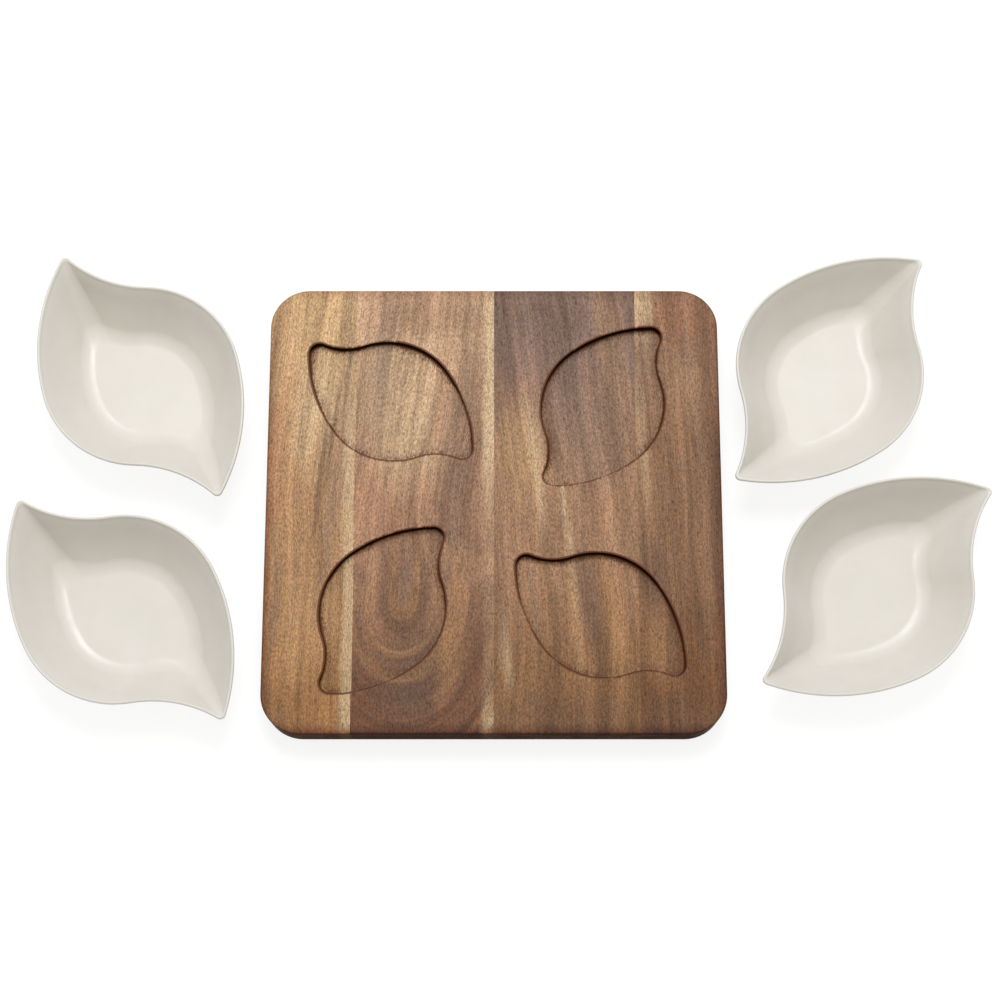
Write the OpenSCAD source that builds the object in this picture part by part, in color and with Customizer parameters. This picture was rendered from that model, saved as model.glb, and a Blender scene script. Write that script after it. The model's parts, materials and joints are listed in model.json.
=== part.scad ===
// Chip and dip server. A square serving board, edge-glued from four wooden staves,
// has four leaf-shaped pockets set round its centre like a pinwheel. Four glazed
// leaf-shaped bowls stand beside it, and each bowl's foot drops into any pocket.
// +Z is up. The origin is the centre of the board's underside, at table height.

/* [Board] */
// Side of the square board
board_w = 300; // [290:1:340]
// Thickness of the board
board_t = 28; // [18:1:35]
// Radius of the board's corners, seen from above
corner_r = 26; // [12:1:36]
// Radius of the rounding along the top and bottom edges
edge_r = 1.5; // [1:0.5:6]
// Place of the left glue line, from the board's centre
left_seam = -92; // [-110:1:-75]
// Place of the middle glue line, from the board's centre
middle_seam = 0; // [-10:1:10]
// Place of the right glue line, from the board's centre
right_seam = 94.5; // [75:0.5:110]

/* [Pocket layout] */
// Depth of a pocket's flat floor below the board's top
pocket_d = 6; // [5:0.5:9]
// Distance from the board's centre to a pocket's centre
pocket_reach = 100; // [98:0.5:104]
// Bearing of the back-left pocket's centre, anticlockwise from +X
pocket_bearing = 133.6; // [130:0.1:140]
// Turn of the back-left pocket about its own centre
pocket_turn = -27.3; // [-32:0.1:-20]

/* [Pocket outline] */
// Sideways place of the crest arc's centre
pocket_crest_x = 1.4; // [0:0.1:3]
// Lengthways place of the crest arc's centre
pocket_crest_y = -7.7; // [-9:0.1:-6]
// Radius of the crest arc, the broad bend of each side
pocket_crest_r = 48.5; // [46:0.5:50]
// Radius of the long arc that runs from the crest to a tip
pocket_long_r = 94; // [88:1:100]
// Radius of the hollow neck beside the other tip
pocket_neck_r = 37; // [33:1:42]
// Bearing at which the long arc joins the crest arc
pocket_long_join = 63; // [58:1:68]
// Bearing at which the neck joins the crest arc
pocket_neck_join = 136.5; // [132:0.5:140]
// Radius of the rounded tips
pocket_tip_r = 7; // [5:0.5:8]

/* [Rim outline] */
// Sideways place of the crest arc's centre
rim_crest_x = 2.9; // [1:0.1:5]
// Lengthways place of the crest arc's centre
rim_crest_y = -3.2; // [-5:0.1:-1]
// Radius of the crest arc, the broad bend of each side
rim_crest_r = 66.4; // [63:0.1:68]
// Radius of the long arc that runs from the crest to a tip
rim_long_r = 133; // [126:1:140]
// Radius of the hollow neck beside the other tip
rim_neck_r = 85; // [78:1:92]
// Bearing at which the long arc joins the crest arc
rim_long_join = 58.5; // [54:0.5:62]
// Bearing at which the neck joins the crest arc
rim_neck_join = 130; // [126:0.5:134]
// Radius of the rounded tips
rim_tip_r = 3.5; // [2.5:0.5:5]

/* [Bowls] */
// Height of a bowl from its foot to the top of its lip
bowl_h = 39; // [32:1:46]
// Thickness of the wall at the rounded lip
lip_t = 3.6; // [3:0.2:5]
// Level thickness of the wall where it meets the floor
wall_t = 3.6; // [3:0.2:6]
// Thickness of the floor
floor_t = 4; // [3:0.5:6]
// How far the wall bellies out between the foot and the lip
wall_bulge = 0.3; // [0:0.05:0.5]
// How far the wall draws in from the top of a pocket to the foot
foot_taper = 3.5; // [2:0.5:5]
// Width of the ring that the bowl stands on
foot_ring_w = 3; // [2:0.5:5]
// Height of the ring that the bowl stands on
foot_ring_h = 1.5; // [1:0.5:2.5]
// Gap between a seated bowl and the side of its pocket
fit_gap = 0.8; // [0.5:0.1:1.5]
// Width of the soft bend between floor and wall
bend_w = 2.5; // [2:0.5:6]
// Height of the soft bend between floor and wall
bend_h = 6; // [4:0.5:10]

/* [Places on the table] */
// Back-left bowl: x, y and turn about its own centre
place_back_left = [-234.5, 87, -41.1]; // [-300:0.1:300]
// Back-right bowl: x, y and turn about its own centre
place_back_right = [222.9, 91.7, 64.8]; // [-300:0.1:300]
// Front-left bowl: x, y and turn about its own centre
place_front_left = [-240.9, -70.3, -30.7]; // [-300:0.1:300]
// Front-right bowl: x, y and turn about its own centre
place_front_right = [248.4, -54.8, 54.8]; // [-300:0.1:300]

/* [Hidden] */
$fn = 96;
half_w = board_w / 2;
lip_r = lip_t / 2;
floor_z = foot_ring_h + floor_t;
least_tip_r = 2;            // sharpest tip that an inset outline may have
sole_w = 1;                 // slope between the foot ring and the raised sole
cut = 1;                    // how far a cutting tool runs past the face it cuts
lower_steps = 3;
wall_steps = 6;
lip_steps = 4;
inner_steps = 7;

// A leaf outline is this list of arcs: see leaf_half for the meaning of each value.
pocket_leaf = [
  [pocket_crest_x, pocket_crest_y], pocket_crest_r, pocket_long_r, pocket_neck_r,
  pocket_long_join, pocket_neck_join, pocket_tip_r,
];
rim_leaf = [
  [rim_crest_x, rim_crest_y], rim_crest_r, rim_long_r, rim_neck_r,
  rim_long_join, rim_neck_join, rim_tip_r,
];
// Points along the long arc, the crest, the neck and the tip of each half outline
pocket_points = [16, 14, 12, 8];
bowl_points = [9, 9, 6, 5];

function unit(angle) = [cos(angle), sin(angle)];
function bearing(v) = atan2(v.y, v.x);
function bearing_after(v, start) = bearing(v) < start ? bearing(v) + 360 : bearing(v);

// Points along an arc from one bearing up to, but not including, another
function arc(centre, r, from, to, steps) =
  [for (i = [0 : steps - 1]) centre + r * unit(from + (to - from) * i / steps)];

// The left-hand meeting point of two circles, seen along the line from a to b
function circles_meet(a, ra, b, rb) =
  let (gap = norm(b - a), along = (ra * ra - rb * rb + gap * gap) / (2 * gap))
  let (aside = sqrt(ra * ra - along * along), u = (b - a) / gap)
  a + along * u + aside * [-u.y, u.x];

// Half of a leaf: the long arc, the crest, the hollow neck and the rounded tip. The
// other half is the same, turned by half a turn, so each neck ends at the tip of the
// other half's long arc. A positive inset shrinks the leaf evenly all round.
function leaf_half(leaf, inset, points) =
  let (crest = leaf[0], crest_r = leaf[1], long_r = leaf[2], neck_r = leaf[3])
  let (long_join = leaf[4], neck_join = leaf[5], tip_r = max(leaf[6] - inset, least_tip_r))
  let (long = crest - (long_r - crest_r) * unit(long_join))
  let (neck = crest + (crest_r + neck_r) * unit(neck_join))
  let (tip = circles_meet(long, long_r - inset - tip_r, -neck, neck_r + inset + tip_r))
  let (tip_start = bearing(neck + tip))
  [
    each arc(long, long_r - inset, bearing(tip - long), long_join, points[0]),
    each arc(crest, crest_r - inset, long_join, neck_join, points[1]),
    each arc(neck, neck_r + inset, neck_join - 180, bearing(-tip - neck), points[2]),
    each arc(-tip, tip_r, tip_start, bearing_after(long - tip, tip_start), points[3]),
  ];

function leaf_outline(leaf, inset, points) =
  let (half = leaf_half(leaf, inset, points))
  [each half, for (p = half) -p];

// ---- Board -------------------------------------------------------------------------

// Upright section of the board, as wide each side of the middle as reach
module rounded_section(reach) {
  translate([-reach + edge_r, 0])
    square([2 * (reach - edge_r), board_t]);
  translate([-reach, edge_r])
    square([2 * reach, board_t - 2 * edge_r]);
  for (x = [-1, 1], y = [edge_r, board_t - edge_r])
    translate([x * (reach - edge_r), y])
      circle(r = edge_r);
}

// A bar of that section, which stops where the round corners start
module rounded_bar() {
  translate([0, half_w - corner_r, 0])
    rotate([90, 0, 0])
      linear_extrude(board_w - 2 * corner_r)
        rounded_section(half_w);
}

module rounded_corner() {
  rotate_extrude()
    intersection() {
      rounded_section(corner_r);
      square([corner_r, board_t]);
    }
}

module board_blank() {
  rounded_bar();
  rotate([0, 0, 90])
    rounded_bar();
  for (x = [-1, 1], y = [-1, 1])
    translate([x * (half_w - corner_r), y * (half_w - corner_r), 0])
      rounded_corner();
}

module pockets() {
  for (quarter = [0 : 3])
    rotate([0, 0, -90 * quarter])
      translate([pocket_reach * cos(pocket_bearing), pocket_reach * sin(pocket_bearing), 0])
        rotate([0, 0, pocket_turn])
          translate([0, 0, board_t - pocket_d])
            linear_extrude(pocket_d + cut)
              polygon(leaf_outline(pocket_leaf, 0, pocket_points));
}

// The part of the board between two glue lines
module stave(from, to) {
  difference() {
    intersection() {
      board_blank();
      translate([from, -half_w - cut, -cut])
        cube([to - from, board_w + 2 * cut, board_t + 2 * cut]);
    }
    pockets();
  }
}

module left_edge_stave() {
  color("#a8773f")
    stave(-half_w - cut, left_seam);
}

module left_middle_stave() {
  color("#8a6647")
    stave(left_seam, middle_seam);
}

module right_middle_stave() {
  color("#7d5d40")
    stave(middle_seam, right_seam);
}

module right_edge_stave() {
  color("#9c6a3c")
    stave(right_seam, half_w + cut);
}

// ---- Bowls -------------------------------------------------------------------------

// A bowl's outline at height z. It blends from the pocket's leaf (0) to the rim's (1).
function bowl_ring(z, blend, inset) =
  let (low = leaf_outline(pocket_leaf, inset + fit_gap, bowl_points))
  let (high = leaf_outline(rim_leaf, inset, bowl_points))
  [for (i = [0 : len(low) - 1]) [each (low[i] * (1 - blend) + high[i] * blend), z]];

// Height as a share of the flared wall, which starts where a pocket ends
function flared_share(z) = max(0, (z - pocket_d) / (bowl_h - lip_r - pocket_d));
function outer_blend(z) = let (s = flared_share(z)) s + wall_bulge * s * (1 - s);
function outer_inset(z) = foot_taper * max(0, 1 - z / pocket_d);
function inner_inset(z) =
  outer_inset(z) + wall_t + (lip_t - wall_t) * flared_share(z) + bend_inset(z - floor_z);
// The soft bend leaves the floor level and meets the wall without a crease
function bend_inset(rise) =
  let (x = min(1, rise / bend_h))
  bend_w * (1 - sqrt(x * (2 - x)));

function outer_ring(z) = bowl_ring(z, outer_blend(z), outer_inset(z));
function inner_ring(z) = bowl_ring(z, outer_blend(z), inner_inset(z));
function lip_ring(angle) =
  bowl_ring(bowl_h - lip_r + lip_r * sin(angle), 1, lip_r * (1 - cos(angle)));

function bowl_rings() =
  let (foot_edge = outer_inset(0), lip_z = bowl_h - lip_r)
  [
    bowl_ring(foot_ring_h, 0, foot_edge + foot_ring_w + sole_w),
    bowl_ring(0, 0, foot_edge + foot_ring_w),
    for (i = [0 : lower_steps - 1]) outer_ring(pocket_d * i / lower_steps),
    for (i = [0 : wall_steps - 1]) outer_ring(pocket_d + (lip_z - pocket_d) * i / wall_steps),
    for (i = [0 : lip_steps]) lip_ring(180 * i / lip_steps),
    for (i = [inner_steps - 1 : -1 : 0])
      inner_ring(floor_z + (lip_z - floor_z) * pow(i / inner_steps, 2)),
  ];

// One closed skin through a stack of outlines, each joined to the next
module skin(rings) {
  n = len(rings[0]);
  last = len(rings) - 1;
  polyhedron(
    points = [for (ring = rings) each ring],
    faces = [
      [for (i = [0 : n - 1]) i],
      for (k = [0 : last - 1], i = [0 : n - 1])
        let (a = k * n + i, b = k * n + (i + 1) % n)
        each [[a, a + n, b + n], [a, b + n, b]],
      [for (i = [n - 1 : -1 : 0]) last * n + i],
    ]
  );
}

module bowl(place) {
  color("#efe9dc")
    translate([place.x, place.y, 0])
      rotate([0, 0, place.z])
        skin(bowl_rings());
}

module back_left_bowl() {
  bowl(place_back_left);
}

module back_right_bowl() {
  bowl(place_back_right);
}

module front_left_bowl() {
  bowl(place_front_left);
}

module front_right_bowl() {
  bowl(place_front_right);
}

left_edge_stave();
left_middle_stave();
right_middle_stave();
right_edge_stave();
back_left_bowl();
back_right_bowl();
front_left_bowl();
front_right_bowl();
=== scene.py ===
"""Chip and dip server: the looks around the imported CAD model.

A square board, edge-glued from four acacia staves, with four leaf-shaped pockets, and
four loose leaf-shaped bowls in a cream glaze. Everything is in metres in the row frame.
"""
import json
import math

import bpy
import bmesh
import numpy as np
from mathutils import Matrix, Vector
from mathutils.geometry import delaunay_2d_cdt


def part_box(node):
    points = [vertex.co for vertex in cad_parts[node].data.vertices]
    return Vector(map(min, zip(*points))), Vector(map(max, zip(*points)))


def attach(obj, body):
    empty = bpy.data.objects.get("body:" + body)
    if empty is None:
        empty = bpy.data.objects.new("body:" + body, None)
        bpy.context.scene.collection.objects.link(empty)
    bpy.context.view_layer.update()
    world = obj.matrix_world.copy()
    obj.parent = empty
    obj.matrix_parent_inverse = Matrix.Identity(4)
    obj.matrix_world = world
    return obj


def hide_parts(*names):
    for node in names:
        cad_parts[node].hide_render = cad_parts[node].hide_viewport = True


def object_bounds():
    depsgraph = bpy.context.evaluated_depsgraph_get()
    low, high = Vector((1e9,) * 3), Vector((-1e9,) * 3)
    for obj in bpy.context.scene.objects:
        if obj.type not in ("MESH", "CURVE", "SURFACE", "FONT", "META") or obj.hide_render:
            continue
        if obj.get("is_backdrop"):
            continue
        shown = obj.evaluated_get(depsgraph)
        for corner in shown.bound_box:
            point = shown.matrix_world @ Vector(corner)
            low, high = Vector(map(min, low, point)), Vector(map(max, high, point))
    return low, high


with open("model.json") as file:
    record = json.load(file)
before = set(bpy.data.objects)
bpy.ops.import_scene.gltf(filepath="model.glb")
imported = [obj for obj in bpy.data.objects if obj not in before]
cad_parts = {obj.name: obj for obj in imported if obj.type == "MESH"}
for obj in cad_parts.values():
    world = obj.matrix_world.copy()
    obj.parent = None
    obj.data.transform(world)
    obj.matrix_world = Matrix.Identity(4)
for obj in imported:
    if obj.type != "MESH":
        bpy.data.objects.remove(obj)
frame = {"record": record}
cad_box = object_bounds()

MM = 0.001

# ---- Sizes that the frame doesn't give ---------------------------------------------

# A leaf is two equal halves, each a long arc, a crest arc, a hollow neck and a tip.
POCKET_LEAF = dict(
    crest=(1.4 * MM, -7.7 * MM),
    crest_r=48.5 * MM,
    long_r=94 * MM,
    neck_r=37 * MM,
    long_join=63,
    neck_join=136.5,
    tip_r=7 * MM,
)
RIM_LEAF = dict(
    crest=(2.9 * MM, -3.2 * MM),
    crest_r=66.4 * MM,
    long_r=133 * MM,
    neck_r=85 * MM,
    long_join=58.5,
    neck_join=130,
    tip_r=3.5 * MM,
)
LEAST_TIP_R = 2 * MM
LEAF_STEPS = dict(long=36, crest=34, neck=24, tip=18)

# Each stave from left to right, and its material slot.
STAVE_SLOTS = {
    "left_edge_stave": "golden_stave",
    "left_middle_stave": "brown_stave",
    "right_middle_stave": "dark_stave",
    "right_edge_stave": "russet_stave",
}
STAVES = list(STAVE_SLOTS)
POCKETS = ["back_left", "back_right", "front_right", "front_left"]
POCKET_TURN = -27.3  # of the back left pocket; each next one is a quarter turn on
BOWL_TURNS = {
    "back_left_bowl": -41.1,
    "back_right_bowl": 64.8,
    "front_left_bowl": -30.7,
    "front_right_bowl": 54.8,
}

CORNER_R = 26 * MM
CORNER_STEPS = 16
EDGE_R = 1.5 * MM
POCKET_LIP_R = 1.0 * MM
POCKET_FILLET_R = 1.8 * MM
FILLET_MARGIN = 0.3 * MM

# How the painted shade and shadow at a pocket's edge fade: out over the top, and in over
# the floor.
SHADE_REACH = 0.8 * MM
FILLET_FOOT_SHADE = 0.35
WALL_FOOT_SHADE = 0.42
WALL_FOOT_SHADE_REACH = 6 * MM

WALL_T = 3.6 * MM
FLOOR_T = 4 * MM
WALL_BULGE = 0.3
FOOT_TAPER = 3.5 * MM
FOOT_RING_W = 3 * MM
FOOT_RING_H = 1.5 * MM
FOOT_EDGE_W = 0.4 * MM
FOOT_EDGE_H = 0.3 * MM
SOLE_W = 1 * MM
FIT_GAP = 0.8 * MM
BEND_W = 6.5 * MM
BEND_H = 4.5 * MM
LIP_OUTER_R = 1.1 * MM
LIP_INNER_H = 10 * MM
FLOOR_TIP_R = 10 * MM
BOWL_RINGS = dict(foot=7, wall=26, lip=8, inner_lip=15, inner_wall=34)

# A ring this far inside a rounded edge keeps a flat cap's long triangles off it.
CAP_MARGIN = 1 * MM

# Edges sharper than this, in degrees, are shaded sharp.
STAVE_SHARP = 50
BOWL_SHARP = 60

CAMERA_AIM = (4.0 * MM, 4.1 * MM)  # on the board's top
CAMERA_ELEVATION = 75.9
CAMERA_DISTANCE = 4.35  # in widths of the board
CAMERA_LENS = 71.46

# The one lamp: a disk above and behind the board, aimed at the origin.
KEY_PLACE = (0, 0.7, 1.6)
KEY_SIZE = 0.75
KEY_POWER = 15.6

STAGE_REACH = 40  # half of the floor's width
STAGE_GAP = 0.2 * MM
STAGE_GLOW = 0.80

# The sky's strength at eye level, and what is added to it behind and overhead.
SKY_LEVEL = 0.43
SKY_BEHIND = 0.20
SKY_ABOVE = 0.48
SKY_FRONT_TINT = (1.0, 0.98, 0.88, 1)
SKY_BACK_TINT = (1.0, 1.03, 1.08, 1)


def record_mount(name):
    return next(m for m in frame["record"]["mounts"] if m["name"] == name)


BOARD_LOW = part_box(STAVES[0])[0]
BOARD_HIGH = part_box(STAVES[-1])[1]
BOARD_T = BOARD_HIGH.z - BOARD_LOW.z
HALF_W = (BOARD_HIGH.x - BOARD_LOW.x) / 2
SEAMS = [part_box(name)[1].x for name in STAVES[:-1]]
POCKET_FLOOR_Z = record_mount("back_left_pocket_floor")["pos_m"][2]
POCKET_D = BOARD_HIGH.z - POCKET_FLOOR_Z
BOWL_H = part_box("back_left_bowl")[1].z
LIP_R = WALL_T / 2
FLOOR_Z = FOOT_RING_H + FLOOR_T


# ---- Outlines ----------------------------------------------------------------------

def unit(degrees):
    angle = math.radians(degrees)
    return np.array([math.cos(angle), math.sin(angle)])


def bearing(v):
    return math.degrees(math.atan2(v[1], v[0]))


def arc(centre, radius, start, end, steps):
    """Points along an arc, up to but not including its end."""
    angles = np.radians(start + (end - start) * np.arange(steps) / steps)
    return centre + radius * np.column_stack([np.cos(angles), np.sin(angles)])


def circles_meet(a, ra, b, rb):
    """The meeting point of two circles on the left of the line from a to b."""
    gap = np.linalg.norm(b - a)
    along = (ra * ra - rb * rb + gap * gap) / (2 * gap)
    aside = math.sqrt(ra * ra - along * along)
    u = (b - a) / gap
    return a + along * u + aside * np.array([-u[1], u[0]])


def leaf(shape, inset, least_tip_r=LEAST_TIP_R):
    """A closed leaf outline, anticlockwise, shrunk evenly by inset."""
    crest = np.array(shape["crest"])
    crest_r, long_r, neck_r = shape["crest_r"], shape["long_r"], shape["neck_r"]
    long_join, neck_join = shape["long_join"], shape["neck_join"]
    tip_r = max(shape["tip_r"] - inset, least_tip_r)
    long = crest - (long_r - crest_r) * unit(long_join)
    neck = crest + (crest_r + neck_r) * unit(neck_join)
    tip = circles_meet(long, long_r - inset - tip_r, -neck, neck_r + inset + tip_r)
    tip_start = bearing(neck + tip)
    tip_end = bearing(long - tip)
    if tip_end < tip_start:
        tip_end += 360
    steps = LEAF_STEPS
    half = np.vstack([
        arc(long, long_r - inset, bearing(tip - long), long_join, steps["long"]),
        arc(crest, crest_r - inset, long_join, neck_join, steps["crest"]),
        arc(neck, neck_r + inset, neck_join - 180, bearing(-tip - neck), steps["neck"]),
        arc(-tip, tip_r, tip_start, tip_end, steps["tip"]),
    ])
    return np.vstack([half, -half])


def turned(points, degrees, centre):
    c, s = unit(degrees)
    return points @ np.array([[c, s], [-s, c]]) + np.array(centre)


def rounded_square(inset):
    """The board's outline, anticlockwise from the right-hand back corner."""
    core = HALF_W - CORNER_R
    radius = CORNER_R - inset
    corners = np.array([(core, core), (-core, core), (-core, -core), (core, -core)])
    rounds = []
    for k, corner in enumerate(corners):
        start, end = 90 * k, 90 * k + 90
        rounds.append(arc(corner, radius, start, end, CORNER_STEPS))
        rounds.append([corner + radius * unit(end)])
    return np.vstack(rounds)


# ---- Mesh building -----------------------------------------------------------------

class Skin:
    """Collects rings of points and the faces between them, then makes a bmesh."""

    def __init__(self):
        self.points = []
        self.faces = []
        self.painted_shades = []

    def ring(self, outline, z, painted_shade=0.0):
        """Adds a ring of points, with how much painted shade its surface gets."""
        start = len(self.points)
        self.points += [(float(x), float(y), float(z)) for x, y in outline]
        self.painted_shades += [painted_shade] * len(outline)
        return list(range(start, len(self.points)))

    def stack(self, rings):
        """Joins each ring to the next one."""
        for below, above in zip(rings, rings[1:]):
            n = len(below)
            for i in range(n):
                j = (i + 1) % n
                self.faces.append([below[i], below[j], above[j], above[i]])

    def cap(self, loops, upward=True):
        """Fills the flat area inside the first loop and outside the others."""
        every = [i for loop in loops for i in loop]
        flat = [Vector(self.points[i][:2]) for i in every]
        edges, start = [], 0
        for loop in loops:
            n = len(loop)
            edges += [(start + i, start + (i + 1) % n) for i in range(n)]
            start += n
        tris = delaunay_2d_cdt(flat, edges, [], 1, 1e-7)[2]
        holes = [np.array([self.points[i][:2] for i in loop]) for loop in loops[1:]]
        for tri in tris:
            middle = sum((flat[i] for i in tri), Vector((0, 0))) / 3
            if any(inside(hole, middle) for hole in holes):
                continue
            face = [every[i] for i in tri]
            a, b, c = (flat[i] for i in tri)
            up = (b - a).cross(c - a) > 0
            self.faces.append(face if up == upward else face[::-1])

    def bmesh(self):
        mesh = bpy.data.meshes.new("skin")
        mesh.from_pydata(self.points, [], self.faces)
        made = bmesh.new()
        made.from_mesh(mesh)
        bpy.data.meshes.remove(mesh)
        painted_shade = made.verts.layers.float.new("painted_shade")
        for vert, value in zip(made.verts, self.painted_shades):
            vert[painted_shade] = value
        return made


def inside(polygon, point):
    """True if the point is in the polygon: counts the edges to its right."""
    a, b = polygon, np.roll(polygon, -1, axis=0)
    spans = (a[:, 1] > point.y) != (b[:, 1] > point.y)
    a, b = a[spans], b[spans]
    cross_x = a[:, 0] + (point.y - a[:, 1]) * (b[:, 0] - a[:, 0]) / (b[:, 1] - a[:, 1])
    return np.count_nonzero(cross_x > point.x) % 2 == 1


def link(name, data):
    """Puts a new object with this data into the scene."""
    obj = bpy.data.objects.new(name, data)
    bpy.context.scene.collection.objects.link(obj)
    return obj


def make_object(name, made, sharp_degrees=180):
    mesh = bpy.data.meshes.new(name)
    made.to_mesh(mesh)
    made.free()
    mesh.shade_smooth()
    mesh.set_sharp_from_angle(angle=math.radians(sharp_degrees))
    return link(name, mesh)


# ---- Board -------------------------------------------------------------------------

def quarter_round(radius, steps):
    """(inset, drop) pairs from the flat down to the upright, round a convex edge."""
    angles = [math.pi / 2 * i / steps for i in range(steps + 1)]
    return [(radius * (1 - math.sin(a)), radius * (1 - math.cos(a))) for a in angles]


def pocket_rings(skin, name, turn):
    """The rings of one pocket, from the board's top down to the pocket's floor."""
    x, y, floor_z = record_mount(f"{name}_pocket_floor")["pos_m"]

    def ring(inset, z, painted_shade):
        return skin.ring(turned(leaf(POCKET_LEAF, inset), turn, (x, y)), z, painted_shade)

    # Painted shade: none on the top beside the pocket, full on its lip and walls, less
    # down the fillet, and some on the floor by the wall's foot.
    rings = [ring(-POCKET_LIP_R - SHADE_REACH, BOARD_T, 0.0)]
    for inset, drop in quarter_round(POCKET_LIP_R, steps=4):
        rings.append(ring(-inset, BOARD_T - drop, 1.0))
    for inset, rise in reversed(quarter_round(POCKET_FILLET_R, steps=5)):
        painted_shade = FILLET_FOOT_SHADE + (1 - FILLET_FOOT_SHADE) * math.sqrt(rise / POCKET_FILLET_R)
        rings.append(ring(inset, floor_z + rise, painted_shade))
    rings.append(ring(POCKET_FILLET_R + FILLET_MARGIN, floor_z, WALL_FOOT_SHADE))
    rings.append(ring(POCKET_FILLET_R + WALL_FOOT_SHADE_REACH, floor_z, 0.0))
    return rings


def side_levels():
    """(inset, z) of each ring round the board, from its underside to its top."""
    lower = quarter_round(EDGE_R, steps=8)
    upper = [(inset, BOARD_T - drop) for inset, drop in reversed(lower)]
    flat = EDGE_R + CAP_MARGIN
    return [(flat, 0), *lower, *upper, (flat, BOARD_T)]


def board_skin():
    skin = Skin()
    side = [skin.ring(rounded_square(inset), z) for inset, z in side_levels()]
    skin.stack(side)
    mouths = []
    for k, name in enumerate(POCKETS):
        rings = pocket_rings(skin, name, POCKET_TURN - 90 * k)
        skin.stack(rings)
        skin.cap([rings[-1]])
        mouths.append(rings[0])
    skin.cap([side[-1], *mouths])
    skin.cap([side[0]], upward=False)
    return skin


def cut_stave(whole, low, high):
    """The part of the board between two glue lines, with both cuts closed."""
    made = whole.copy()
    for place, side in ((low, -1), (high, 1)):
        if abs(place) >= HALF_W:
            continue
        geometry = made.verts[:] + made.edges[:] + made.faces[:]
        cut = bmesh.ops.bisect_plane(
            made, geom=geometry, dist=1e-7, plane_co=(place, 0, 0),
            plane_no=(side, 0, 0), clear_outer=True)
        edges = [e for e in cut["geom_cut"] if isinstance(e, bmesh.types.BMEdge)]
        bmesh.ops.triangle_fill(made, use_beauty=True, use_dissolve=False,
                                edges=edges, normal=(side, 0, 0))
    bmesh.ops.recalc_face_normals(made, faces=made.faces[:])
    return made


def make_board():
    whole = board_skin().bmesh()
    bmesh.ops.remove_doubles(whole, verts=whole.verts[:], dist=1e-8)
    bmesh.ops.recalc_face_normals(whole, faces=whole.faces[:])
    limits = [-HALF_W, *SEAMS, HALF_W]
    for name, low, high in zip(STAVES, limits, limits[1:]):
        stave = make_object(f"{name}_wood", cut_stave(whole, low, high), STAVE_SHARP)
        weighted = stave.modifiers.new("flat faces stay flat", "WEIGHTED_NORMAL")
        weighted.keep_sharp = True
        stave.data.materials.append(Wood(name, STAVE_LOOKS[name]).graph.owner)
        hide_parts(name)
        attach(stave, "board")
    whole.free()


# ---- Bowls -------------------------------------------------------------------------

def blend_at(z):
    """How far the outline has changed from the pocket's leaf, 0, to the rim's, 1."""
    share = (z - POCKET_D) / (BOWL_H - LIP_R - POCKET_D)
    share = min(1.0, max(0.0, share))
    return share + WALL_BULGE * share * (1 - share)


def outer_inset(z):
    """The foot tapers below the height of a pocket, so that it drops in easily."""
    return FOOT_TAPER * max(0.0, 1 - z / POCKET_D)


def inner_inset(z):
    """The inner face of the wall, with a soft bend where it meets the floor."""
    x = min(1.0, (z - FLOOR_Z) / BEND_H)
    bend = BEND_W * (1 - math.sqrt(max(0.0, x * (2 - x))))
    return outer_inset(z) + WALL_T + bend


def bowl_outline(blend, inset, least_tip_r):
    low = leaf(POCKET_LEAF, inset + FIT_GAP, least_tip_r)
    high = leaf(RIM_LEAF, inset, least_tip_r)
    return low * (1 - blend) + high * blend


def inner_tip_r(z):
    """Inside, the tips are sharp at the lip and fill out softly towards the floor."""
    depth = (BOWL_H - z) / (BOWL_H - FLOOR_Z)
    return LEAST_TIP_R + (FLOOR_TIP_R - LEAST_TIP_R) * math.sqrt(depth)


def outer_levels():
    """(z, blend, inset) of each ring outside, from the sole up to the lip."""
    foot = outer_inset(0)
    ring_inset = foot + FOOT_RING_W
    levels = [
        (FOOT_RING_H, 0, ring_inset + SOLE_W + CAP_MARGIN),
        (FOOT_RING_H, 0, ring_inset + SOLE_W),
        (FOOT_EDGE_H, 0, ring_inset + FOOT_EDGE_W / 2),
        (0, 0, ring_inset - FOOT_EDGE_W),
        (0, 0, foot + FOOT_EDGE_W),
    ]
    for z in np.linspace(FOOT_EDGE_H, POCKET_D, BOWL_RINGS["foot"]):
        levels.append((z, 0, outer_inset(z)))
    for z in np.linspace(POCKET_D, BOWL_H - LIP_R, BOWL_RINGS["wall"])[1:]:
        levels.append((z, blend_at(z), 0))
    for angle in np.linspace(0, math.pi / 2, BOWL_RINGS["lip"])[1:]:
        z = BOWL_H - LIP_OUTER_R * (1 - math.sin(angle))
        levels.append((z, 1, LIP_OUTER_R * (1 - math.cos(angle))))
    return levels


def inner_levels():
    """(z, inset) of each ring inside, from the lip down to the floor."""
    levels = []
    for angle in np.linspace(0, math.pi / 2, BOWL_RINGS["inner_lip"])[1:]:
        z = BOWL_H - LIP_INNER_H * (1 - math.cos(angle))
        levels.append((z, LIP_OUTER_R + (WALL_T - LIP_OUTER_R) * math.sin(angle)))
    wall_h = BOWL_H - LIP_INNER_H - FLOOR_Z
    for share in np.linspace(1, 0, BOWL_RINGS["inner_wall"])[1:]:
        z = FLOOR_Z + wall_h * share ** 2
        levels.append((z, inner_inset(z)))
    levels.append((FLOOR_Z, inner_inset(FLOOR_Z) + CAP_MARGIN))
    return levels


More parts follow.
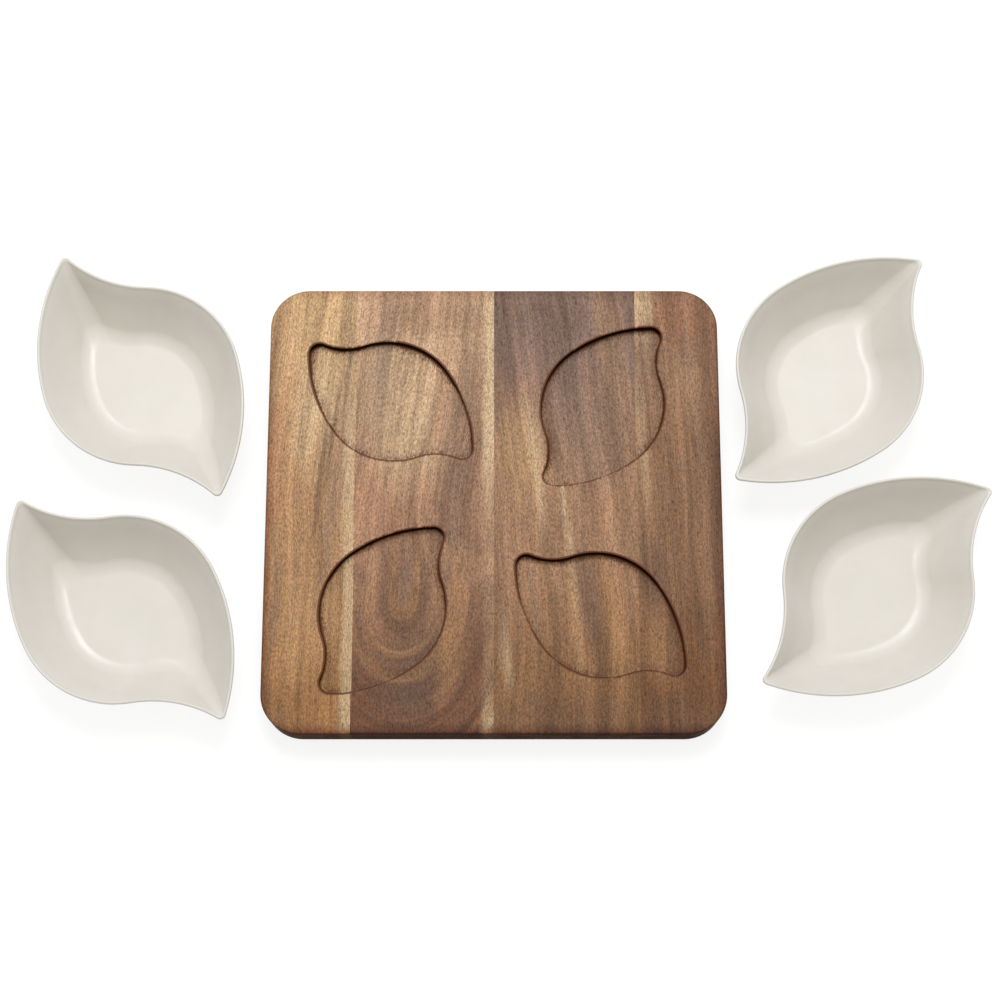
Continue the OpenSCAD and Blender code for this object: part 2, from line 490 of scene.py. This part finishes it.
def make_bowl(node, material):
    low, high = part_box(node)
    centre = ((low.x + high.x) / 2, (low.y + high.y) / 2)
    skin = Skin()

    def ring(z, blend, inset, least_tip_r):
        outline = bowl_outline(blend, inset, least_tip_r)
        return skin.ring(turned(outline, BOWL_TURNS[node], centre), z)

    rings = [ring(z, blend, inset, LEAST_TIP_R) for z, blend, inset in outer_levels()]
    rings += [ring(z, blend_at(z), inset, inner_tip_r(z)) for z, inset in inner_levels()]
    skin.stack(rings)
    skin.cap([rings[0]], upward=False)
    skin.cap([rings[-1]])
    bowl = make_object(f"{node}_glazed", skin.bmesh(), BOWL_SHARP)
    bowl.data.materials.append(material)
    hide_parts(node)
    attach(bowl, f"{node}_body")


# ---- Materials ---------------------------------------------------------------------

class Graph:
    """A node tree. Most calls add one node and give back its output."""

    def __init__(self, owner, shader):
        owner.use_nodes = True
        self.owner = owner
        self.tree = owner.node_tree
        self.shader = self.tree.nodes[shader]

    def feed(self, socket, value):
        if isinstance(value, bpy.types.NodeSocket):
            self.tree.links.new(value, socket)
        else:
            socket.default_value = value

    def surface(self, **inputs):
        """Feeds the shader's own sockets. An underscore stands for a space."""
        for key, value in inputs.items():
            self.feed(self.shader.inputs[key.replace("_", " ")], value)

    def add(self, kind, inputs, **settings):
        node = self.tree.nodes.new(kind)
        for key, value in settings.items():
            setattr(node, key, value)
        for key, value in inputs.items():
            self.feed(node.inputs[key], value)
        return node

    def coordinates(self, kind):
        return self.add("ShaderNodeTexCoord", {}).outputs[kind]

    def maths(self, operation, a, b=0.0):
        node = self.add("ShaderNodeMath", {0: a, 1: b}, operation=operation)
        return node.outputs[0]

    def plus(self, a, b):
        return self.maths("ADD", a, b)

    def minus(self, a, b):
        return self.maths("SUBTRACT", a, b)

    def times(self, a, b):
        return self.maths("MULTIPLY", a, b)

    def size_of(self, a):
        return self.maths("ABSOLUTE", a)

    def distance(self, a, b, softness=0.0):
        """The length of (a, b), kept a little above 0 by a softness."""
        squared = self.plus(self.times(a, a), self.times(b, b))
        if softness:
            squared = self.plus(squared, softness)
        return self.maths("SQRT", squared)

    def vector(self, x, y, z):
        return self.add("ShaderNodeCombineXYZ", {0: x, 1: y, 2: z}).outputs[0]

    def split(self, vector):
        return self.add("ShaderNodeSeparateXYZ", {0: vector}).outputs

    def noise(self, vector, scale=1.0, detail=2.0, roughness=0.5, distortion=0.0):
        inputs = {"Vector": vector, "Scale": scale, "Detail": detail,
                  "Roughness": roughness, "Distortion": distortion}
        return self.add("ShaderNodeTexNoise", inputs).outputs["Fac"]

    def between(self, value, low, high, to_low=0.0, to_high=1.0, easing="SMOOTHSTEP"):
        """Eases from to_low to to_high as the value goes from low to high."""
        inputs = {"Value": value, "From Min": low, "From Max": high,
                  "To Min": to_low, "To Max": to_high}
        node = self.add("ShaderNodeMapRange", inputs, interpolation_type=easing)
        return node.outputs["Result"]

    def mix(self, factor, a, b, blend="MIX"):
        inputs = {0: factor, 6: a, 7: b}
        node = self.add("ShaderNodeMix", inputs, data_type="RGBA", blend_type=blend)
        return node.outputs[2]

    def shaded(self, colour, shade):
        """The colour made darker or lighter by a factor."""
        return self.mix(1.0, colour, self.vector(shade, shade, shade), "MULTIPLY")

    def ramp(self, factor, stops):
        """A blend between two (place, colour) stops."""
        node = self.add("ShaderNodeValToRGB", {0: factor})
        elements = node.color_ramp.elements
        for element, (place, colour) in zip(elements, stops):
            element.position = place
            element.color = colour
        return node.outputs[0]

    def bump(self, height, strength, distance):
        inputs = {"Height": height, "Strength": strength, "Distance": distance}
        return self.add("ShaderNodeBump", inputs).outputs[0]


def new_material(name):
    return Graph(bpy.data.materials.new(name), "Principled BSDF")


def srgb(red, green, blue):
    """A linear colour from the 0 to 255 values that a screen shows."""
    def linear(value):
        value /= 255
        return value / 12.92 if value <= 0.04045 else ((value + 0.055) / 1.055) ** 2.4

    return (linear(red), linear(green), linear(blue), 1.0)


SAPWOOD = srgb(197, 169, 132)
HONEY = srgb(184, 143, 99)
GOLD = srgb(167, 122, 78)
TAN = srgb(156, 119, 87)
BROWN = srgb(133, 96, 69)
UMBER = srgb(97, 70, 51)
MAUVE = srgb(118, 95, 81)
RUSSET = srgb(141, 89, 57)
# Painted shade colours: near black on the pockets' walls and on end grain, there partly
# its own tone; brown at the pockets' edges.
SHADE_AND_END_GRAIN_DARK = srgb(36, 17, 9)
SHADE_BROWN = srgb(90, 48, 22)
RIM_TINT = srgb(166, 122, 86)
GLAZE_DARK = srgb(207, 202, 193)
GLAZE_LIGHT = srgb(212, 207, 200)
STAGE_DARK = srgb(132, 132, 132)
STAGE_LIGHT = srgb(137, 137, 137)


class Look:
    """What makes one stave's figure: its colours, its grain and its marks.

    tones: ground colour at the back, the middle and the front
    lean: how far the grain leans over in the back half
    nose: centre of nested U-shaped growth rings, if any
    rings: (colour, strength, reach from the nose, width) of each plain ring there
    tones: ground colour at the back, the middle and the front; where it darkens towards
    the front, that is partly painted light, the sheen fading away from the lamp behind,
    and partly the wood's own tone
    sap: (start in x, where in y it is full, where in y it is faint, strength) of the
        strip of sapwood beside the stave's right-hand glue line, if any
    """

    def __init__(self, seed, tones, lean=0.0, nose=None, rings=(), patches=(), sap=None):
        self.seed = seed
        self.tones = tones
        self.lean = lean
        self.nose = nose
        self.rings = rings
        self.patches = patches
        self.sap = sap


STAVE_LOOKS = {
    "left_edge_stave": Look(
        1.7, (srgb(185, 148, 106), srgb(159, 119, 81), srgb(141, 99, 57)), lean=0.10,
        patches=[
            (RUSSET, 0.35, (-0.150, 0.02), (0.010, 0.14)),
            (MAUVE, 0.45, (-0.104, 0.02), (0.007, 0.10)),
            (SAPWOOD, 0.50, (-0.118, 0.068), (0.016, 0.045)),
            (HONEY, 0.38, (-0.122, -0.082), (0.024, 0.034)),
            (UMBER, 0.35, (-0.145, -0.140), (0.020, 0.020)),
            (UMBER, 0.55, (-0.0985, 0.085), (0.0018, 0.034)),
            (UMBER, 0.55, (-0.1070, 0.048), (0.0020, 0.038)),
            (UMBER, 0.50, (-0.1150, 0.010), (0.0022, 0.040)),
        ],
        sap=(-0.0990, 0.030, 0.110, 0.62),
    ),
    "left_middle_stave": Look(
        5.2, (srgb(185, 147, 115), srgb(152, 111, 83), srgb(103, 65, 41)),
        lean=0.12, nose=(-0.058, -0.062),
        rings=[
            (MAUVE, 0.45, 0.004, 0.0050),
            (GOLD, 0.45, 0.0110, 0.0028),
            (UMBER, 0.30, 0.0170, 0.0035),
            (GOLD, 0.24, 0.0255, 0.0040),
            (UMBER, 0.25, 0.0310, 0.0030),
            (GOLD, 0.30, 0.0360, 0.0040),
        ],
        patches=[
            (SAPWOOD, 0.52, (-0.060, 0.078), (0.026, 0.050)),
            (MAUVE, 0.45, (-0.077, 0.095), (0.006, 0.060)),
            (MAUVE, 0.50, (-0.022, 0.02), (0.016, 0.060)),
            (UMBER, 0.80, (-0.050, -0.110), (0.026, 0.042)),
            (GOLD, 0.50, (-0.026, -0.080), (0.009, 0.050)),
            (GOLD, 0.40, (-0.051, -0.055), (0.005, 0.030)),
            (BROWN, 0.45, (-0.045, 0.130), (0.040, 0.016)),
            (SAPWOOD, 0.34, (-0.056, 0.036), (0.028, 0.030)),
            (UMBER, 0.28, (-0.046, -0.045), (0.036, 0.045)),
            (SAPWOOD, 0.60, (-0.004, -0.140), (0.005, 0.022)),
        ],
        sap=(-0.0070, 0.050, -0.030, 0.78),
    ),
    "right_middle_stave": Look(
        9.4, (srgb(120, 92, 78), srgb(150, 111, 81), srgb(122, 84, 49)), lean=-0.12,
        patches=[
            (UMBER, 0.45, (0.030, 0.135), (0.030, 0.022)),
            (TAN, 0.60, (0.078, 0.105), (0.012, 0.050)),
            (HONEY, 0.50, (0.016, 0.035), (0.018, 0.036)),
            (SAPWOOD, 0.42, (0.028, 0.025), (0.005, 0.045)),
            (SAPWOOD, 0.38, (0.048, -0.015), (0.004, 0.050)),
            (SAPWOOD, 0.30, (0.008, -0.100), (0.005, 0.030)),
            (HONEY, 0.40, (0.052, -0.070), (0.004, 0.045)),
            (MAUVE, 0.50, (0.062, 0.050), (0.026, 0.040)),
            (UMBER, 0.70, (0.061, -0.055), (0.006, 0.055)),
            (GOLD, 0.45, (0.078, -0.070), (0.008, 0.045)),
            (UMBER, 0.45, (0.045, -0.140), (0.050, 0.018)),
        ],
    ),
    "right_edge_stave": Look(
        13.1, (srgb(130, 94, 68), srgb(134, 96, 66), srgb(107, 66, 32)), lean=-0.05,
        patches=[
            (SAPWOOD, 0.85, (0.100, 0.140), (0.007, 0.034)),
            (SAPWOOD, 0.30, (0.098, 0.060), (0.004, 0.070)),
            (UMBER, 0.65, (0.101, -0.045), (0.009, 0.030)),
            (GOLD, 0.45, (0.108, -0.095), (0.014, 0.030)),
            (UMBER, 0.50, (0.115, -0.140), (0.040, 0.016)),
            (UMBER, 0.30, (0.140, 0.000), (0.016, 0.080)),
            (RUSSET, 0.40, (0.125, 0.130), (0.030, 0.020)),
            (TAN, 0.40, (0.124, 0.080), (0.024, 0.026)),
            (UMBER, 0.40, (0.137, -0.078), (0.005, 0.030)),
            (UMBER, 0.35, (0.129, 0.112), (0.004, 0.022)),
        ],
    ),
}


class Wood:
    """Oiled acacia with its grain along y, built up one kind of mark at a time.

    Distances are in metres. Growth rings are read "across" the grain: that is x, or the
    distance from the nose where the stave has one.
    """

    def __init__(self, name, look):
        self.graph = g = new_material(name)
        self.look = look
        self.x, self.y, self.z = g.split(g.coordinates("Object"))
        self.straight = self.lay_grain()
        self.across = self.straight
        # The layer of noise that is read, so that the figure changes with the height.
        self.layer = g.plus(g.times(self.z, 60), look.seed)
        if look.nose:
            self.turn_grain_back()
        # Soft clouds along the grain make the borders of all marks ragged.
        self.cloud = g.noise(self.cloud_place(), detail=4, roughness=0.62)
        self.ragged = g.times(g.minus(self.cloud, 0.5), 1.6)
        self.drift = g.plus(self.y, g.times(self.ragged, 45 * MM))
        self.colour = self.ground()
        for patch in look.patches:
            self.add_patch(*patch)
        for ring in look.rings:
            self.add_ring(*ring)
        self.broad = self.add_streaks()
        if look.sap:
            self.add_sapwood(*look.sap)
        self.fibre, self.pore_mask, self.fleck = self.add_dashes()
        self.darken_rim()
        shade_and_end_grain = self.paint_shade_and_end_grain()
        self.feed_shader(shade_and_end_grain)

    def lay_grain(self):
        """x, but wandering slowly to either side and leaning over towards the back."""
        g, look = self.graph, self.look
        place = g.vector(g.times(self.x, 9), g.times(self.y, 6),
                         g.plus(g.times(self.z, 9), look.seed))
        wander = g.times(g.minus(g.noise(place, detail=1), 0.5), 26 * MM)
        back = g.maths("MAXIMUM", self.y, 0.0)
        return g.plus(g.plus(self.x, wander), g.times(back, -look.lean))

    def turn_grain_back(self):
        """Growth rings turn back on themselves below the nose, in nested U shapes."""
        g = self.graph
        nose_x, nose_y = self.look.nose
        aside = g.minus(self.across, nose_x)
        below = g.times(g.maths("MINIMUM", g.minus(self.y, nose_y), 0.0), 0.70)
        self.across = g.distance(aside, below, 0.00006)
        side = g.times(g.between(aside, -12 * MM, 12 * MM, -1.0, 1.0),
                       g.between(self.y, nose_y, nose_y + 50 * MM))
        self.layer = g.plus(self.layer, g.times(side, 1.5))

    def cloud_place(self):
        g = self.graph
        return g.vector(g.times(self.across, 70), g.times(self.y, 18),
                        g.plus(g.times(self.z, 40), self.look.seed * 2))

    def ground(self):
        """The ground colour drifts from the back of the stave to its front; its darkening
        towards the front is partly painted light, a fading sheen, and partly the wood's
        own tone.
        """
        g = self.graph
        back, middle, front = self.look.tones
        colour = g.mix(g.between(self.drift, 15 * MM, 120 * MM), middle, back)
        return g.mix(g.between(self.drift, -20 * MM, -135 * MM), colour, front)

    def tint(self, mask, strength, tone):
        """Brings the colour closer to a tone where the mask says so."""
        g = self.graph
        self.colour = g.mix(g.times(mask, strength), self.colour, tone)

    def add_patch(self, tone, strength, centre, reach):
        """A ragged oval mark that leans with the grain and fades out to its edge."""
        g = self.graph
        up = g.minus(self.y, centre[1])
        upright_x = g.plus(self.x, g.times(up, -self.look.lean))
        across = g.maths("DIVIDE", g.minus(upright_x, centre[0]), reach[0])
        along = g.maths("DIVIDE", up, reach[1])
        away = g.plus(g.distance(across, along), self.ragged)
        self.tint(g.between(away, 1.35, 0.25), strength, tone)

    def add_ring(self, tone, strength, reach, width):
        """One plain growth ring at a distance from the nose, in the front half."""
        g = self.graph
        off = g.minus(g.plus(self.across, g.times(self.ragged, 9 * MM)), reach)
        mask = g.times(g.between(g.size_of(off), width, 0.0),
                       g.between(self.drift, -15 * MM, -50 * MM))
        self.tint(mask, strength, tone)

    def along_grain(self, per_m_across, per_m_along, shift=0.0):
        """A place for noise that is drawn out along the growth rings."""
        g = self.graph
        return g.vector(
            g.plus(g.times(self.across, per_m_across), self.look.seed + shift),
            g.times(self.y, per_m_along), self.layer)

    def add_streaks(self):
        """Broad streaks, some redder and some greyer, and fine ones in them."""
        g = self.graph
        broad = g.noise(self.along_grain(95, 4), detail=4, roughness=0.6, distortion=0.1)
        colour = g.shaded(self.colour, g.between(broad, 0.30, 0.70, 0.73, 1.23))
        hue = g.noise(self.along_grain(140, 5, 3.1), detail=3, roughness=0.6)
        warm = g.mix(0.5, RUSSET, GOLD)
        colour = g.mix(g.between(hue, 0.56, 0.76, 0.0, 0.42), colour, warm)
        colour = g.mix(g.between(hue, 0.44, 0.26, 0.0, 0.42), colour, MAUVE)
        fine = g.noise(self.along_grain(520, 12, 5.3), detail=3, roughness=0.65)
        self.colour = g.shaded(colour, g.between(fine, 0.28, 0.72, 0.88, 1.11))
        return broad

    def add_sapwood(self, start, full_y, faint_y, strength):
        """A pale strip from start to the stave's right-hand edge."""
        g = self.graph
        edge = g.plus(self.x, g.times(g.minus(self.cloud, 0.5), 6 * MM))
        mask = g.between(edge, start - 2.5 * MM, start + 2.5 * MM)
        fade = g.between(g.plus(self.y, g.times(self.ragged, 30 * MM)),
                         faint_y, full_y, 0.15, 1.0)
        mask = g.times(mask, g.times(fade, strength))
        self.colour = g.mix(mask, self.colour, SAPWOOD)

    def dashes(self, per_m_across, per_m_along, shift):
        """A place for noise that is drawn out into short dashes along the grain."""
        g = self.graph
        return g.vector(
            g.plus(g.times(self.straight, per_m_across), self.look.seed + shift),
            g.times(self.y, per_m_along), g.times(self.z, 900))

    def add_dashes(self):
        """Fibres, open pores and small flecks."""
        g = self.graph
        fibre = g.noise(self.dashes(1500, 60, 7.7), detail=2)
        pore = g.noise(self.dashes(1250, 190, 11.3), detail=1)
        fleck = g.noise(self.dashes(1100, 480, 17.9), detail=3, roughness=0.7)
        shade = g.times(g.between(fibre, 0.25, 0.75, 0.86, 1.12),
                        g.between(pore, 0.58, 0.74, 1.0, 0.70))
        shade = g.times(shade, g.between(fleck, 0.30, 0.70, 0.57, 1.38))
        self.colour = g.shaded(self.colour, shade)
        return fibre, g.between(pore, 0.60, 0.74), fleck

    def darken_rim(self):
        """The outer edges of the board's top are darker and redder, more so towards the
        front.
        """
        g = self.graph
        inwards = g.maths("MINIMUM", g.minus(HALF_W, g.size_of(self.x)),
                          g.minus(HALF_W, g.size_of(self.y)))
        rim = g.between(g.plus(inwards, g.times(self.ragged, 5 * MM)), 9 * MM, 0.0)
        rim = g.times(rim, g.between(self.drift, 110 * MM, -90 * MM, 0.35, 0.80))
        self.colour = g.mix(rim, self.colour, RIM_TINT, "MULTIPLY")

    def paint_shade_and_end_grain(self):
        """Paints shade into the pockets, speckled brown at their edges and near black on
        their walls, where the far walls stand in shade and cast their shadow; and darkens
        end grain, partly its own tone and partly painted shade.
        """
        g = self.graph
        _, facing_y, facing_z = g.split(g.coordinates("Normal"))
        upright = g.between(g.size_of(facing_z), 0.95, 0.40)
        across_grain = g.size_of(facing_y)
        # End grain on the board's front and back is darker: partly its own tone, partly
        # painted shade of the front face turned from the lamp.
        end_grain_and_shade = g.between(across_grain, 0.45, 0.95, 0.42, 0.74)
        pocket_shade = g.add("ShaderNodeAttribute", {}, attribute_name="painted_shade").outputs["Fac"]
        # A speckled brown painted shade over the pockets' edges, walls and the floor by
        # the walls.
        patchy = g.times(pocket_shade, g.between(self.ragged, -0.20, 0.25, 0.55, 1.75))
        speckled = g.minus(g.plus(patchy, 0.65), g.times(self.fleck, 1.3))
        self.tint(g.between(speckled, 0.30, 0.90), 0.90, SHADE_BROWN)
        # The walls across the grain, the far walls among them, get the full painted shade,
        # and the side walls less.
        pocket_shade = g.times(pocket_shade, g.between(across_grain, 0.15, 0.70, 0.45, 1.0))
        # Near black on upright faces, as far as the larger of the pockets' painted shade
        # and the end grain's darkening.
        shade_and_end_grain = g.times(upright, g.maths("MAXIMUM", pocket_shade, end_grain_and_shade))
        self.colour = g.mix(shade_and_end_grain, self.colour, SHADE_AND_END_GRAIN_DARK)
        return shade_and_end_grain

    def feed_shader(self, shade_and_end_grain):
        g = self.graph
        rough = g.plus(g.between(self.broad, 0.3, 0.7, 0.58, 0.46),
                       g.times(self.pore_mask, 0.2))
        height = g.minus(g.times(self.fibre, 0.35), self.pore_mask)
        g.surface(
            Base_Color=self.colour, Roughness=rough,
            Specular_IOR_Level=g.between(shade_and_end_grain, 0.0, 0.8, 0.24, 0.0),
            Normal=g.bump(height, 0.35, 0.12 * MM))


def glaze(name):
    """A cream glaze, hardly uneven, with a soft gloss."""
    g = new_material(name)
    place = g.coordinates("Object")
    cloud = g.noise(place, scale=26, detail=4, roughness=0.6)
    smear = g.noise(place, scale=60, detail=2)
    ripple = g.noise(place, scale=140, detail=2)
    g.surface(
        Base_Color=g.ramp(cloud, [(0.3, GLAZE_DARK), (0.7, GLAZE_LIGHT)]),
        Roughness=g.between(smear, 0.3, 0.7, 0.30, 0.40),
        Normal=g.bump(ripple, 0.12, 0.25 * MM))
    return g.owner


# ---- Stage -------------------------------------------------------------------------

def make_floor():
    """A pale floor that glows like a light table, so that shadows on it stay faint."""
    made = bmesh.new()
    bmesh.ops.create_grid(made, x_segments=1, y_segments=1, size=STAGE_REACH)
    floor = make_object("floor", made)
    floor.location.z = -STAGE_GAP
    g = new_material("pale floor")
    tone = g.noise(g.coordinates("Object"), scale=1.5, detail=1)
    g.surface(
        Base_Color=g.ramp(tone, [(0.3, STAGE_DARK), (0.7, STAGE_LIGHT)]),
        Roughness=0.9, Specular_IOR_Level=0.0,
        Emission_Color=(1, 1, 1, 1), Emission_Strength=STAGE_GLOW)
    floor.data.materials.append(g.owner)
    floor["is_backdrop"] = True


def point_at(obj, place, towards):
    """Places a camera or lamp and turns it to look in a direction."""
    obj.location = place
    obj.rotation_euler = towards.to_track_quat("-Z", "Y").to_euler()


def make_key_light():
    data = bpy.data.lights.new("key", "AREA")
    data.shape = "DISK"
    data.size = KEY_SIZE
    data.energy = KEY_POWER
    place = Vector(KEY_PLACE)
    point_at(link("key", data), place, -place)


def make_camera():
    """The photograph's view: straight from the front, and steeply from above."""
    elevation = math.radians(CAMERA_ELEVATION)
    away = Vector((0, -math.cos(elevation), math.sin(elevation)))
    data = bpy.data.cameras.new("camera")
    data.lens = CAMERA_LENS
    camera = link("camera", data)
    aim = Vector((*CAMERA_AIM, BOARD_T))
    point_at(camera, aim + away * CAMERA_DISTANCE * 2 * HALF_W, -away)
    bpy.context.scene.camera = camera


def make_world():
    """A pale studio: brighter and cooler behind, brightest overhead, warm in front."""
    g = Graph(bpy.data.worlds.new("studio"), "Background")
    _, y, z = g.split(g.coordinates("Generated"))
    level = g.plus(g.times(y, SKY_BEHIND), SKY_LEVEL)
    backness = g.between(y, -1.0, 1.0, easing="LINEAR")
    g.surface(Color=g.mix(backness, SKY_FRONT_TINT, SKY_BACK_TINT),
              Strength=g.plus(g.times(z, SKY_ABOVE), level))
    bpy.context.scene.world = g.owner


make_board()
cream = glaze("cream_glaze")
for node in BOWL_TURNS:
    make_bowl(node, cream)

make_camera()
make_floor()
make_world()
make_key_light()
bpy.context.scene.view_settings.view_transform = "Standard"

boxes = {"cad": cad_box, "visual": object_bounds()}
{k: [list(corner) for corner in box] for k, box in boxes.items()}
